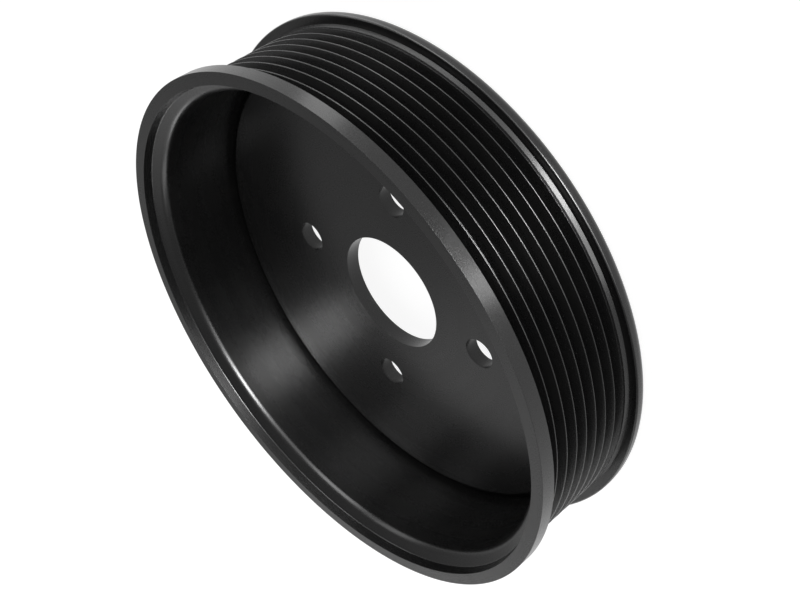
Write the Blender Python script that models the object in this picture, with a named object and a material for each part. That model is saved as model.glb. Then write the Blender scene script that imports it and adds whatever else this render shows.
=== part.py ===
"""A grooved pulley for a ribbed belt, turned in one piece: two flanges, eight V grooves, a deep open cup
with a stepped mouth, and a dished web with a bore and bolt holes. Metres, +Z up, lying on its rear face."""

import math

import bpy
from mathutils import Matrix, Vector

# Belt side
RIB_DIAMETER = 0.1475
GROOVE_COUNT = 8
GROOVE_PITCH = 0.00356
GROOVE_ANGLE = math.radians(40)
GROOVE_DEPTH = 0.0031
RIB_TIP_FILLET = 0.00025
FRONT_LAND = 0.0027
REAR_LAND = 0.00338
REAR_LAND_FILLET = 0.0009

# Flanges
FLANGE_HEIGHT = 0.00275
FRONT_FLANGE_THICKNESS = 0.004
REAR_FLANGE_THICKNESS = 0.004
REAR_EDGE_FILLET = 0.003

# Mouth of the cup: a shallow rebate behind the front face, then a sloping lip rolled into the wall
FRONT_FACE_WIDTH = 0.0035
REBATE_DEPTH = 0.00266
REBATE_DRAFT = math.radians(8.5)
REBATE_FILLET = 0.0003
LIP_SLOPE = math.radians(30)
LIP_FILLET = 0.0023

# Cup and web
RIM_WALL = 0.00142
CUP_DRAFT = math.radians(5.2)
WEB_DISH = math.radians(1.5)
WEB_THICKNESS = 0.0043
BORE_DIAMETER = 0.0343
BOLT_COUNT = 4
BOLT_CIRCLE_DIAMETER = 0.0644
BOLT_HOLE_DIAMETER = 0.009

# Rear recess
REAR_RECESS_DEPTH = 0.0077
REAR_RECESS_WALL = 0.004
REAR_RECESS_DRAFT = math.radians(3)
REAR_RECESS_FILLET = 0.001

# Facets: how many flat strips stand for a turn, a hole and each kind of fillet
TURN_STEPS = 72
HOLE_STEPS = 24
RIB_TIP_STEPS = 2
LAND_EDGE_STEPS = 1
SMALL_FILLET_STEPS = 2
LIP_STEPS = 4
REAR_EDGE_STEPS = 5
SHARP_ANGLE = math.radians(30)

FLANGE_RADIUS = RIB_DIAMETER / 2 + FLANGE_HEIGHT
ROOT_RADIUS = RIB_DIAMETER / 2 - GROOVE_DEPTH
SEAT_WIDTH = FRONT_LAND + (GROOVE_COUNT - 1) * GROOVE_PITCH + REAR_LAND
SEAT_TOP = REAR_FLANGE_THICKNESS + SEAT_WIDTH
WIDTH = SEAT_TOP + FRONT_FLANGE_THICKNESS
FIRST_GROOVE = SEAT_TOP - FRONT_LAND


def crossing(point, direction, other_point, other_direction):
    """Where two lines of the section meet."""
    along = (other_point - point).cross(other_direction) / direction.cross(other_direction)
    return point + direction * along


def rounded(before, corner, after, radius, steps):
    """The arc that rounds one corner of the section."""
    back = (before - corner).normalized()
    on = (after - corner).normalized()
    half_angle = back.angle(on) / 2
    centre = corner + (back + on).normalized() * radius / math.sin(half_angle)
    start = corner + back * radius / math.tan(half_angle) - centre
    turn = math.copysign(math.pi - 2 * half_angle, on.cross(back))
    return [centre + Matrix.Rotation(turn * step / steps, 2) @ start for step in range(steps + 1)]


def section(corners):
    """The closed outline through (corner, fillet radius, arc steps), with its fillets drawn."""
    points = []
    for index, (corner, radius, steps) in enumerate(corners):
        if radius == 0:
            points.append(corner)
            continue
        before = corners[index - 1][0]
        after = corners[(index + 1) % len(corners)][0]
        points += rounded(before, corner, after, radius, steps)
    return points


def sharp(radius, height):
    return Vector((radius, height)), 0, 0


def belt_seat_corners():
    """The belt side between the flanges, from top to bottom: a land, the grooves with rounded ribs between
    them, and a second land. Each rib is cut short of the point where its flanks would meet."""
    tip_radius = RIB_DIAMETER / 2
    flank = math.tan(GROOVE_ANGLE / 2)
    tip_loss = RIB_TIP_FILLET * (1 / math.sin(GROOVE_ANGLE / 2) - 1)
    flanks_meet = tip_radius + tip_loss - GROOVE_PITCH / 2 / flank
    mouth_half_width = (tip_radius - flanks_meet) * flank
    root_half_width = (ROOT_RADIUS - flanks_meet) * flank

    corners = [sharp(tip_radius, SEAT_TOP)]
    corners.append((Vector((tip_radius, FIRST_GROOVE + mouth_half_width)), RIB_TIP_FILLET, LAND_EDGE_STEPS))
    for groove in range(GROOVE_COUNT):
        centre = FIRST_GROOVE - groove * GROOVE_PITCH
        corners.append(sharp(ROOT_RADIUS, centre + root_half_width))
        corners.append(sharp(ROOT_RADIUS, centre - root_half_width))
        if groove < GROOVE_COUNT - 1:
            rib = Vector((tip_radius + tip_loss, centre - GROOVE_PITCH / 2))
            corners.append((rib, RIB_TIP_FILLET, RIB_TIP_STEPS))
    last_groove = FIRST_GROOVE - (GROOVE_COUNT - 1) * GROOVE_PITCH
    corners.append((Vector((tip_radius, last_groove - mouth_half_width)), RIB_TIP_FILLET, LAND_EDGE_STEPS))
    corners.append((Vector((tip_radius, REAR_FLANGE_THICKNESS)), REAR_LAND_FILLET, SMALL_FILLET_STEPS))
    return corners


def rear_corners():
    """The rear: the rounded flange edge, the flat ring that the pulley rests on, and the recess up to the
    web's flat rear face and the bore."""
    floor_radius = ROOT_RADIUS - REAR_RECESS_WALL
    mouth_radius = floor_radius + REAR_RECESS_DEPTH * math.tan(REAR_RECESS_DRAFT)
    return [
        (Vector((FLANGE_RADIUS, 0)), REAR_EDGE_FILLET, REAR_EDGE_STEPS),
        sharp(mouth_radius, 0),
        (Vector((floor_radius, REAR_RECESS_DEPTH)), REAR_RECESS_FILLET, SMALL_FILLET_STEPS),
        sharp(BORE_DIAMETER / 2, REAR_RECESS_DEPTH),
    ]


def cup_corners():
    """The front: the dished web out from the bore, the cup's drafted wall, the lip and the rebate."""
    bore_edge = Vector((BORE_DIAMETER / 2, REAR_RECESS_DEPTH + WEB_THICKNESS))
    web_run = Vector((math.cos(WEB_DISH), -math.sin(WEB_DISH)))
    wall_at_first_groove = Vector((ROOT_RADIUS - RIM_WALL, FIRST_GROOVE))
    wall_run = Vector((math.sin(CUP_DRAFT), math.cos(CUP_DRAFT)))
    mouth_edge = Vector((FLANGE_RADIUS - FRONT_FACE_WIDTH, WIDTH))
    rebate_corner = mouth_edge - Vector((math.tan(REBATE_DRAFT), 1)) * REBATE_DEPTH
    lip_run = Vector((-math.cos(LIP_SLOPE), -math.sin(LIP_SLOPE)))
    return [
        (bore_edge, 0, 0),
        (crossing(bore_edge, web_run, wall_at_first_groove, wall_run), 0, 0),
        (crossing(rebate_corner, lip_run, wall_at_first_groove, wall_run), LIP_FILLET, LIP_STEPS),
        (rebate_corner, REBATE_FILLET, SMALL_FILLET_STEPS),
        (mouth_edge, 0, 0),
    ]


def pulley_section():
    """The whole section at +X, down the belt side, in along the rear and back up through the cup."""
    flange_corners = [sharp(FLANGE_RADIUS, WIDTH), sharp(FLANGE_RADIUS, SEAT_TOP)]
    rear_flange_edge = [sharp(FLANGE_RADIUS, REAR_FLANGE_THICKNESS)]
    return section(
        flange_corners + belt_seat_corners() + rear_flange_edge + rear_corners() + cup_corners()
    )


def turned(name, points, steps):
    """A ring turned about Z from a closed section at +X."""
    mesh = bpy.data.meshes.new(name)
    edges = [(index, (index + 1) % len(points)) for index in range(len(points))]
    mesh.from_pydata([(point.x, 0, point.y) for point in points], edges, [])
    ring = bpy.data.objects.new(name, mesh)
    bpy.context.collection.objects.link(ring)
    turn = ring.modifiers.new("Turn", "SCREW")
    turn.axis = "Z"
    turn.angle = math.tau
    turn.steps = steps
    turn.render_steps = steps
    turn.use_merge_vertices = True
    turn.merge_threshold = 1e-6
    return ring


def bolt_hole_cutter(name, angle):
    """A drill for one bolt hole, standing clear of the web on both sides."""
    web_middle = REAR_RECESS_DEPTH + WEB_THICKNESS / 2
    bpy.ops.mesh.primitive_cylinder_add(
        vertices=HOLE_STEPS, radius=BOLT_HOLE_DIAMETER / 2, depth=4 * WEB_THICKNESS
    )
    cutter = bpy.context.object
    cutter.name = name
    cutter.location = Matrix.Rotation(angle, 3, "Z") @ Vector((BOLT_CIRCLE_DIAMETER / 2, 0, web_middle))
    cutter.hide_render = True
    cutter.display_type = "WIRE"
    return cutter


def black_anodised():
    material = bpy.data.materials.new("black_anodised_aluminium")
    material.use_nodes = True
    shader = material.node_tree.nodes["Principled BSDF"]
    shader.inputs["Base Color"].default_value = (0.045, 0.045, 0.047, 1)
    shader.inputs["Metallic"].default_value = 0.6
    shader.inputs["Roughness"].default_value = 0.34
    return material


def make_pulley():
    pulley = turned("pulley", pulley_section(), TURN_STEPS)
    for index in range(BOLT_COUNT):
        drill = pulley.modifiers.new(f"Bolt hole {index + 1}", "BOOLEAN")
        drill.operation = "DIFFERENCE"
        drill.solver = "EXACT"
        drill.object = bolt_hole_cutter(f"bolt_hole_{index + 1}", math.tau * index / BOLT_COUNT)

    finished = bpy.data.meshes.new_from_object(
        pulley.evaluated_get(bpy.context.evaluated_depsgraph_get())
    )
    pulley.modifiers.clear()
    pulley.data = finished
    finished.name = "pulley"
    finished.shade_smooth()
    finished.set_sharp_from_angle(angle=SHARP_ANGLE)
    finished.materials.clear()
    finished.materials.append(black_anodised())


def main():
    for old in list(bpy.data.objects):
        bpy.data.objects.remove(old)
    make_pulley()


main()
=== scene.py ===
"""The looks of the grooved pulley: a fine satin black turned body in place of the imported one, on a
plain white floor under soft light, seen from the photograph's viewpoint. Metres, +Z up along the axis."""

import math

import bpy
from mathutils import Matrix, Vector


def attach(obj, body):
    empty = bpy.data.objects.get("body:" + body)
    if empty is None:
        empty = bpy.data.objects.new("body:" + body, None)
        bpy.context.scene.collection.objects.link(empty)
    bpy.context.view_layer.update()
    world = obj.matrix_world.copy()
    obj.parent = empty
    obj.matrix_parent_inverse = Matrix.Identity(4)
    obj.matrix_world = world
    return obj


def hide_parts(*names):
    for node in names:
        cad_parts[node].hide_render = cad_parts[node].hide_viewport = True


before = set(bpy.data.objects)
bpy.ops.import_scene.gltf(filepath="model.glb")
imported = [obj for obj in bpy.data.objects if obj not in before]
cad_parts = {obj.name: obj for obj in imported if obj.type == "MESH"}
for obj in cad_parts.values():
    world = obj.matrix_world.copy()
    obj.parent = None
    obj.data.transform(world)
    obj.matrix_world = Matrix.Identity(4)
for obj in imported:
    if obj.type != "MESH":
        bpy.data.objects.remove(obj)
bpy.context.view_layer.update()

# Belt side: the rear land lies below the rib tips, and its foot rises to the flange as a cone
RIB_DIAMETER = 0.1475
GROOVE_COUNT = 8
GROOVE_PITCH = 0.00356
GROOVE_ANGLE = math.radians(40)
GROOVE_DEPTH = 0.0031
GROOVE_ROOT_FILLET = 0.00012
RIB_TIP_FILLET = 0.00021
FRONT_LAND = 0.0027
REAR_LAND = 0.00338
REAR_LAND_DROP = 0.0002
REAR_LAND_FOOT = 0.001
REAR_LAND_SLOPE = math.radians(24)

# Flanges
FLANGE_HEIGHT = 0.00275
FRONT_FLANGE_THICKNESS = 0.004
REAR_FLANGE_THICKNESS = 0.004
REAR_FLANGE_FILLET = 0.0005
REAR_EDGE_FILLET = 0.0027

# Mouth of the cup: a shallow rebate behind the front face, then a sloping lip rolled into the wall
FRONT_FACE_WIDTH = 0.0035
REBATE_DEPTH = 0.00266
REBATE_DRAFT = math.radians(8.5)
REBATE_FILLET = 0.0005
LIP_SLOPE = math.radians(30)
LIP_FILLET = 0.0031

# Cup and web: the web is dished, bows down near its outer edge and falls away to the foot of the wall
RIM_WALL = 0.00142
WEB_THICKNESS = 0.0043
WEB_DISH = math.radians(1.5)
WEB_BOW = math.radians(9)
WEB_BOW_AT = 0.064
WEB_BOW_RADIUS = 0.036
WEB_EDGE_SLOPE = math.radians(45)
WEB_EDGE_AT = 0.0671
WEB_EDGE_FILLET = 0.001
BORE_DIAMETER = 0.0343
BOLT_COUNT = 4
BOLT_CIRCLE_DIAMETER = 0.0644
BOLT_HOLE_DIAMETER = 0.009
DRILL_LENGTH = 4 * WEB_THICKNESS

# Rear recess
REAR_RECESS_DEPTH = 0.0077
REAR_RECESS_WALL = 0.004
REAR_RECESS_DRAFT = math.radians(3)
REAR_RECESS_FILLET = 0.001

# Every turned edge is broken by a touch of the tool
BROKEN_EDGE = 0.00006

# Finish: rings left by the turning tool, broad bands where it dwelt, and the grain of the black coat
RING_PITCH = 0.0003
RING_DEPTH = 0.0000005
BAND_WIDTH = 0.004
GRAIN_SIZE = 0.00025
GRAIN_DEPTH = 0.0000006
MOTTLE_SIZE = 0.012
MOTTLE_DETAIL = 4
FINE_DETAIL = 2
NOISE_MIDDLE = (0.3, 0.7)

# Black coat: the bands set its roughness, and the mottling and the grain vary it
COAT_DARK = (0.0075, 0.0075, 0.0078, 1)
COAT_LIGHT = (0.0105, 0.0103, 0.0102, 1)
COAT_IOR = 1.45
BAND_ROUGHNESS = (0.25, 0.275)
MOTTLE_ROUGHNESS = (-0.006, 0.01)
GRAIN_ROUGHNESS = (0, 0.02)

# Facets
TURN_STEPS = 360
HOLE_STEPS = 96
FILLET_STEPS = 8
TIP_STEPS = 6
EDGE_STEPS = 3
WEB_RINGS = 9
SHARP_ANGLE = math.radians(40)
MERGE_DISTANCE = 1e-6

# World: the horizon's light fades to the ceiling's between two heights, as sines of the elevation
SKY_FADE = (0.02, 0.25)
HORIZON_LIGHT = 1
CEILING_LIGHT = 0.4

# Floor: a hair below the pulley. Its own glow makes up most of its white, so the shadow is faint
FLOOR_SIZE = 6
FLOOR_GAP = 0.0001
FLOOR_GREY = (0.35, 0.35, 0.35, 1)
FLOOR_ROUGHNESS = 0.2
FLOOR_GLOSS = 0.2
FLOOR_GLOW = 0.91

# Lamps: boxes at one distance from the pulley, and cards just above the floor that end at one radius
BOX_DISTANCE = 1.2
CARD_LIFT = 0.001
CARD_REACH = 0.165

# Camera, at the photograph's viewpoint
CAMERA_AT = (0.17058, 0.23526, 0.17967)
VIEW_AZIMUTH = math.radians(144.651)
VIEW_ELEVATION = math.radians(30.161)
VIEW_ROLL = math.radians(-125.311)
LENS_MM = 55.418
SENSOR_MM = 36
NEAR_CLIP = 0.01

FLANGE_RADIUS = RIB_DIAMETER / 2 + FLANGE_HEIGHT
ROOT_RADIUS = RIB_DIAMETER / 2 - GROOVE_DEPTH
SEAT_WIDTH = FRONT_LAND + (GROOVE_COUNT - 1) * GROOVE_PITCH + REAR_LAND
SEAT_TOP = REAR_FLANGE_THICKNESS + SEAT_WIDTH
WIDTH = SEAT_TOP + FRONT_FLANGE_THICKNESS
FIRST_GROOVE = SEAT_TOP - FRONT_LAND


def rounded(before, corner, after, radius, steps):
    """The arc that rounds one corner of the section."""
    back = (before - corner).normalized()
    on = (after - corner).normalized()
    half_angle = back.angle(on) / 2
    centre = corner + (back + on).normalized() * radius / math.sin(half_angle)
    start = corner + back * radius / math.tan(half_angle) - centre
    turn = math.copysign(math.pi - 2 * half_angle, on.cross(back))
    return [centre + Matrix.Rotation(turn * step / steps, 2) @ start for step in range(steps + 1)]


def section(corners):
    """The closed outline through (corner, fillet radius, arc steps), with its fillets drawn."""
    points = []
    for index, (corner, radius, steps) in enumerate(corners):
        if radius == 0:
            points.append(corner)
            continue
        before = corners[index - 1][0]
        after = corners[(index + 1) % len(corners)][0]
        points += rounded(before, corner, after, radius, steps)
    return points


def edge(radius, height):
    """A turned edge, broken all round."""
    return Vector((radius, height)), BROKEN_EDGE, EDGE_STEPS


def belt_seat_corners():
    """The belt side between the flanges, from top to bottom: a land, the grooves with rounded ribs
    between them, and the rear land. Each rib is cut short of the point where its flanks would meet."""
    tip_radius = RIB_DIAMETER / 2
    flank = math.tan(GROOVE_ANGLE / 2)
    tip_loss = RIB_TIP_FILLET * (1 / math.sin(GROOVE_ANGLE / 2) - 1)
    flanks_meet = tip_radius + tip_loss - GROOVE_PITCH / 2 / flank
    mouth_half_width = (tip_radius - flanks_meet) * flank
    root_half_width = (ROOT_RADIUS - flanks_meet) * flank

    first_mouth = Vector((tip_radius, FIRST_GROOVE + mouth_half_width))
    corners = [edge(tip_radius, SEAT_TOP), (first_mouth, RIB_TIP_FILLET, TIP_STEPS)]
    for groove in range(GROOVE_COUNT):
        centre = FIRST_GROOVE - groove * GROOVE_PITCH
        for side in (1, -1):
            root = Vector((ROOT_RADIUS, centre + side * root_half_width))
            corners.append((root, GROOVE_ROOT_FILLET, EDGE_STEPS))
        if groove < GROOVE_COUNT - 1:
            rib = Vector((tip_radius + tip_loss, centre - GROOVE_PITCH / 2))
            corners.append((rib, RIB_TIP_FILLET, TIP_STEPS))

    last_mouth = FIRST_GROOVE - (GROOVE_COUNT - 1) * GROOVE_PITCH - mouth_half_width
    land_radius = tip_radius - REAR_LAND_DROP
    foot_rise = REAR_LAND_FOOT * math.tan(REAR_LAND_SLOPE)
    corners.append(edge(land_radius, last_mouth))
    corners.append(edge(land_radius, REAR_FLANGE_THICKNESS + REAR_LAND_FOOT))
    corners.append(edge(land_radius + foot_rise, REAR_FLANGE_THICKNESS))
    return corners


def rear_corners():
    """The rear: the rounded flange edge, the flat ring that the pulley rests on, and the recess up to the
    web's flat rear face and the bore."""
    floor_radius = ROOT_RADIUS - REAR_RECESS_WALL
    mouth_radius = floor_radius + REAR_RECESS_DEPTH * math.tan(REAR_RECESS_DRAFT)
    return [
        (Vector((FLANGE_RADIUS, 0)), REAR_EDGE_FILLET, FILLET_STEPS),
        edge(mouth_radius, 0),
        (Vector((floor_radius, REAR_RECESS_DEPTH)), REAR_RECESS_FILLET, FILLET_STEPS),
        edge(BORE_DIAMETER / 2, REAR_RECESS_DEPTH),
    ]


def falling_to(start, radius, slope):
    """The end of a stretch that runs out from start to a radius and falls at a slope."""
    run = radius - start.x
    return start + Vector((run, -run * math.tan(slope)))


def cup_corners():
    """The front: the web out from the bore to the foot of the cup's wall, the lip and the rebate."""
    wall_radius = ROOT_RADIUS - RIM_WALL
    bore_edge = Vector((BORE_DIAMETER / 2, REAR_RECESS_DEPTH + WEB_THICKNESS))
    web_bow = falling_to(bore_edge, WEB_BOW_AT, WEB_DISH)
    web_edge = falling_to(web_bow, WEB_EDGE_AT, WEB_BOW)
    wall_foot = falling_to(web_edge, wall_radius, WEB_EDGE_SLOPE)
    mouth_edge = Vector((FLANGE_RADIUS - FRONT_FACE_WIDTH, WIDTH))
    rebate_corner = mouth_edge - Vector((math.tan(REBATE_DRAFT), 1)) * REBATE_DEPTH
    lip_width = rebate_corner.x - wall_radius
    lip_edge = rebate_corner - Vector((1, math.tan(LIP_SLOPE))) * lip_width
    rings = [bore_edge.lerp(web_bow, ring / WEB_RINGS) for ring in range(1, WEB_RINGS)]
    return [
        (bore_edge, BROKEN_EDGE, EDGE_STEPS),
        *[(ring, 0, 0) for ring in rings],
        (web_bow, WEB_BOW_RADIUS, FILLET_STEPS),
        (web_edge, WEB_EDGE_FILLET, FILLET_STEPS),
        (wall_foot, 0, 0),
        (lip_edge, LIP_FILLET, FILLET_STEPS),
        (rebate_corner, REBATE_FILLET, FILLET_STEPS),
        (mouth_edge, BROKEN_EDGE, EDGE_STEPS),
    ]


def pulley_section():
    """The whole section at +X, down the belt side, in along the rear and back up through the cup."""
    front_flange = [edge(FLANGE_RADIUS, WIDTH), edge(FLANGE_RADIUS, SEAT_TOP)]
    rear_flange_edge = Vector((FLANGE_RADIUS, REAR_FLANGE_THICKNESS))
    rear_flange = [(rear_flange_edge, REAR_FLANGE_FILLET, FILLET_STEPS)]
    return section(front_flange + belt_seat_corners() + rear_flange + rear_corners() + cup_corners())


def turned(name, points, steps):
    """A ring turned about Z from a closed section at +X."""
    mesh = bpy.data.meshes.new(name)
    edges = [(index, (index + 1) % len(points)) for index in range(len(points))]
    mesh.from_pydata([(point.x, 0, point.y) for point in points], edges, [])
    ring = bpy.data.objects.new(name, mesh)
    bpy.context.collection.objects.link(ring)
    turn = ring.modifiers.new("Turn", "SCREW")
    turn.axis = "Z"
    turn.angle = math.tau
    turn.steps = steps
    turn.render_steps = steps
    turn.use_merge_vertices = True
    turn.merge_threshold = MERGE_DISTANCE
    return ring


def bolt_hole_cutter(name, angle):
    """A drill for one bolt hole, standing clear of the web on both sides."""
    web_middle = REAR_RECESS_DEPTH + WEB_THICKNESS / 2
    bpy.ops.mesh.primitive_cylinder_add(
        vertices=HOLE_STEPS, radius=BOLT_HOLE_DIAMETER / 2, depth=DRILL_LENGTH
    )
    cutter = bpy.context.object
    cutter.name = name
    cutter.location = Matrix.Rotation(angle, 3, "Z") @ Vector((BOLT_CIRCLE_DIAMETER / 2, 0, web_middle))
    return cutter


def make_pulley():
    """The turned body with its bolt holes drilled, as one finished mesh."""
    pulley = turned("pulley_body", pulley_section(), TURN_STEPS)
    drills = [
        bolt_hole_cutter(f"bolt_hole_{index + 1}", math.tau * index / BOLT_COUNT)
        for index in range(BOLT_COUNT)
    ]
    for drill in drills:
        cut = pulley.modifiers.new(drill.name, "BOOLEAN")
        cut.operation = "DIFFERENCE"
        cut.solver = "EXACT"
        cut.object = drill
    finished = bpy.data.meshes.new_from_object(
        pulley.evaluated_get(bpy.context.evaluated_depsgraph_get())
    )
    pulley.modifiers.clear()
    pulley.data = finished
    finished.name = "pulley_body"
    finished.shade_smooth()
    finished.set_sharp_from_angle(angle=SHARP_ANGLE)
    finished.materials.clear()
    finished.materials.append(satin_black())
    for drill in drills:
        bpy.data.objects.remove(drill)
    normals = pulley.modifiers.new("Flat faces stay flat", "WEIGHTED_NORMAL")
    normals.keep_sharp = True
    return pulley


def noise(nodes, links, place, size, detail=FINE_DETAIL):
    """Noise whose lumps are about so many metres across, from 0 to 1."""
    texture = nodes.new("ShaderNodeTexNoise")
    texture.inputs["Scale"].default_value = 1 / size
    texture.inputs["Detail"].default_value = detail
    links.new(place, texture.inputs["Vector"])
    return texture.outputs[0]


def mapped(nodes, links, value, low, high):
    """A noise's middle range spread from low to high."""
    spread = nodes.new("ShaderNodeMapRange")
    spread.inputs["From Min"].default_value, spread.inputs["From Max"].default_value = NOISE_MIDDLE
    spread.inputs["To Min"].default_value = low
    spread.inputs["To Max"].default_value = high
    links.new(value, spread.inputs["Value"])
    return spread.outputs[0]


def added(nodes, links, first, second):
    """The sum of two values, which is what a new Math node gives."""
    total = nodes.new("ShaderNodeMath")
    links.new(first, total.inputs[0])
    links.new(second, total.inputs[1])
    return total.outputs[0]


def turned_place(nodes, links, place):
    """The distance from the axis and the height, which stay the same all round the pulley."""
    split = nodes.new("ShaderNodeSeparateXYZ")
    links.new(place, split.inputs[0])
    flat = nodes.new("ShaderNodeCombineXYZ")
    links.new(split.outputs["X"], flat.inputs["X"])
    links.new(split.outputs["Y"], flat.inputs["Y"])
    radius = nodes.new("ShaderNodeVectorMath")
    radius.operation = "LENGTH"
    links.new(flat.outputs[0], radius.inputs[0])
    around = nodes.new("ShaderNodeCombineXYZ")
    links.new(radius.outputs["Value"], around.inputs["X"])
    links.new(split.outputs["Z"], around.inputs["Y"])
    return around.outputs[0]


def satin_black():
    """Turned aluminium under a satin black coat, which hides the metal and follows the tool marks."""
    material = bpy.data.materials.new("satin_black_anodised")
    material.use_nodes = True
    nodes = material.node_tree.nodes
    links = material.node_tree.links
    shader = nodes["Principled BSDF"]
    shader.inputs["Metallic"].default_value = 0
    shader.inputs["IOR"].default_value = COAT_IOR

    place = nodes.new("ShaderNodeTexCoord").outputs["Object"]
    around = turned_place(nodes, links, place)
    rings = noise(nodes, links, around, RING_PITCH)
    bands = noise(nodes, links, around, BAND_WIDTH)
    grain = noise(nodes, links, place, GRAIN_SIZE)
    mottle = noise(nodes, links, place, MOTTLE_SIZE, MOTTLE_DETAIL)

    tint = nodes.new("ShaderNodeValToRGB")
    tint.color_ramp.elements[0].color = COAT_DARK
    tint.color_ramp.elements[1].color = COAT_LIGHT
    links.new(mapped(nodes, links, mottle, 0, 1), tint.inputs["Fac"])
    links.new(tint.outputs["Color"], shader.inputs["Base Color"])

    dull = mapped(nodes, links, bands, *BAND_ROUGHNESS)
    dull = added(nodes, links, dull, mapped(nodes, links, mottle, *MOTTLE_ROUGHNESS))
    dull = added(nodes, links, dull, mapped(nodes, links, grain, *GRAIN_ROUGHNESS))
    links.new(dull, shader.inputs["Roughness"])

    relief = mapped(nodes, links, rings, 0, RING_DEPTH)
    relief = added(nodes, links, relief, mapped(nodes, links, grain, 0, GRAIN_DEPTH))
    bump = nodes.new("ShaderNodeBump")
    bump.inputs["Strength"].default_value = 1
    bump.inputs["Distance"].default_value = 1
    links.new(relief, bump.inputs["Height"])
    links.new(bump.outputs["Normal"], shader.inputs["Normal"])
    return material


def seen_ray(nodes, links):
    """1 for the rays that show a surface directly, in gloss or through glass, and 0 for the rays that
    carry its light to other surfaces."""
    rays = nodes.new("ShaderNodeLightPath")
    gloss = nodes.new("ShaderNodeMath")
    gloss.operation = "MAXIMUM"
    links.new(rays.outputs["Is Camera Ray"], gloss.inputs[0])
    links.new(rays.outputs["Is Glossy Ray"], gloss.inputs[1])
    seen = nodes.new("ShaderNodeMath")
    seen.operation = "MAXIMUM"
    links.new(gloss.outputs[0], seen.inputs[0])
    links.new(rays.outputs["Is Transmission Ray"], seen.inputs[1])
    return seen.outputs[0]


def make_world():
    """Bright round the horizon and darker towards the ceiling, the same for every ray."""
    world = bpy.data.worlds.new("studio")
    bpy.context.scene.world = world
    world.use_nodes = True
    nodes = world.node_tree.nodes
    links = world.node_tree.links
    place = nodes.new("ShaderNodeTexCoord")
    split = nodes.new("ShaderNodeSeparateXYZ")
    links.new(place.outputs["Generated"], split.inputs[0])
    fall = nodes.new("ShaderNodeMapRange")
    fall.interpolation_type = "SMOOTHSTEP"
    fall.inputs["From Min"].default_value, fall.inputs["From Max"].default_value = SKY_FADE
    fall.inputs["To Min"].default_value = HORIZON_LIGHT
    fall.inputs["To Max"].default_value = CEILING_LIGHT
    links.new(split.outputs["Z"], fall.inputs["Value"])
    links.new(fall.outputs[0], nodes["Background"].inputs["Strength"])
    nodes["Background"].inputs["Color"].default_value = (1, 1, 1, 1)


def make_floor():
    """A plain floor, as white as the ground of the photograph."""
    bpy.ops.mesh.primitive_plane_add(size=FLOOR_SIZE, location=(0, 0, -FLOOR_GAP))
    floor = bpy.context.object
    floor.name = "floor"
    material = bpy.data.materials.new("floor")
    material.use_nodes = True
    nodes = material.node_tree.nodes
    links = material.node_tree.links
    shader = nodes["Principled BSDF"]
    shader.inputs["Base Color"].default_value = FLOOR_GREY
    shader.inputs["Roughness"].default_value = FLOOR_ROUGHNESS
    shader.inputs["Specular IOR Level"].default_value = FLOOR_GLOSS
    shader.inputs["Emission Color"].default_value = (1, 1, 1, 1)
    scale = nodes.new("ShaderNodeMath")
    scale.operation = "MULTIPLY"
    scale.inputs[1].default_value = FLOOR_GLOW
    links.new(seen_ray(nodes, links), scale.inputs[0])
    links.new(scale.outputs[0], shader.inputs["Emission Strength"])
    floor.data.materials.append(material)


def make_light(name, size, energy):
    """An area lamp that shows in gloss alone."""
    data = bpy.data.lights.new(name, "AREA")
    data.shape = "RECTANGLE"
    data.size, data.size_y = size
    data.energy = energy
    lamp = bpy.data.objects.new(name, data)
    bpy.context.collection.objects.link(lamp)
    lamp.visible_camera = False
    lamp.visible_diffuse = False
    return lamp


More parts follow.
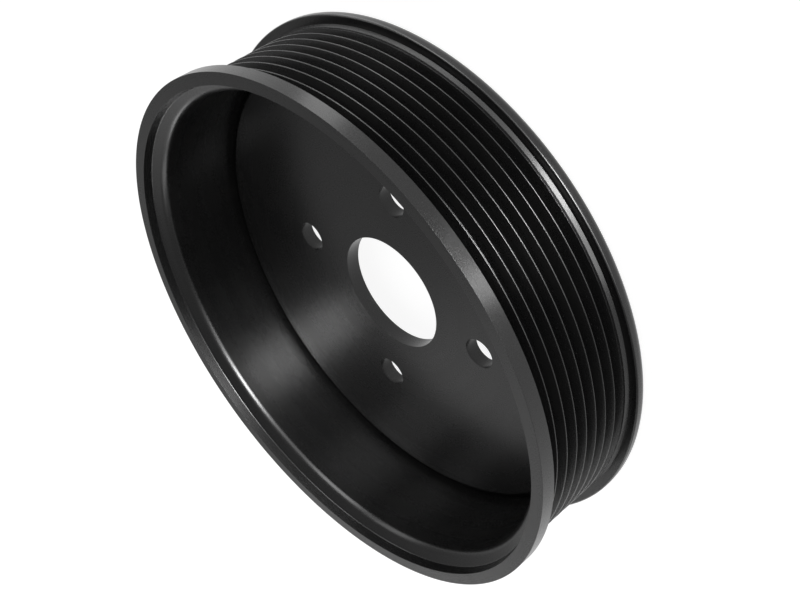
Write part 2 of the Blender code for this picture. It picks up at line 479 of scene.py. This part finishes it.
def make_box(name, azimuth, elevation, spread, strength):
    """A soft box seen from the pulley's middle in a given direction, so many degrees wide and high. Its
    strength is how much light reaches a face turned to it there, whatever its size."""
    size = [2 * BOX_DISTANCE * math.tan(math.radians(angle) / 2) for angle in spread]
    lamp = make_light(name, size, strength * math.pi * BOX_DISTANCE**2)
    lift = Matrix.Rotation(math.radians(-elevation), 3, "Y")
    out = Matrix.Rotation(math.radians(azimuth), 3, "Z") @ lift @ Vector((1, 0, 0))
    lamp.location = Vector((0, 0, WIDTH / 2)) + out * BOX_DISTANCE
    lamp.rotation_euler = out.to_track_quat("Z", "Y").to_euler()


def make_card(name, azimuth, start, width, strength):
    """A card of light lying face up beside the pulley, from a distance from its axis outwards, which the
    upright faces reflect. Its strength is how bright the card is, whatever its size."""
    length = CARD_REACH - start
    card = make_light(name, (length, width), strength * math.pi * length * width)
    middle = Matrix.Translation(((start + CARD_REACH) / 2, 0, CARD_LIFT))
    turn = Matrix.Rotation(math.radians(azimuth), 4, "Z")
    card.matrix_world = turn @ middle @ Matrix.Rotation(math.pi, 4, "X")


def make_lamps():
    """The key box is behind the camera, seen from the pulley, and the rest stand round the pulley."""
    make_box("key_box", 50, 21, (18, 24), 7.4)
    make_box("key_spill", 60, 20, (90, 30), 2.4)
    make_box("right_box", 117, 20, (26, 30), 1.7)
    make_box("far_box", 156, 22, (20, 30), 0.5)
    make_box("left_box", -68, 20, (18, 26), 0.35)
    make_box("back_box", 257, 28, (32, 44), 0.2)
    make_box("low_left_box", 262, 6, (22, 10), 0.22)
    make_box("low_right_box", 30, 5, (30, 10), 0.5)
    make_card("front_card", 43, 0.085, 0.02, 6)
    make_card("right_card", 105, 0.079, 0.03, 2.2)


def make_camera():
    """The camera at the photograph's viewpoint."""
    data = bpy.data.cameras.new("camera")
    data.lens = LENS_MM
    data.sensor_width = SENSOR_MM
    data.clip_start = NEAR_CLIP
    camera = bpy.data.objects.new("camera", data)
    bpy.context.collection.objects.link(camera)
    turn = (
        Matrix.Rotation(VIEW_AZIMUTH, 4, "Z")
        @ Matrix.Rotation(math.pi / 2 - VIEW_ELEVATION, 4, "X")
        @ Matrix.Rotation(VIEW_ROLL, 4, "Z")
    )
    camera.matrix_world = Matrix.Translation(CAMERA_AT) @ turn
    bpy.context.scene.camera = camera


make_camera()
make_world()
make_floor()
make_lamps()
pulley = make_pulley()
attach(pulley, "root")
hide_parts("pulley")
bpy.context.scene.view_settings.view_transform = "Standard"
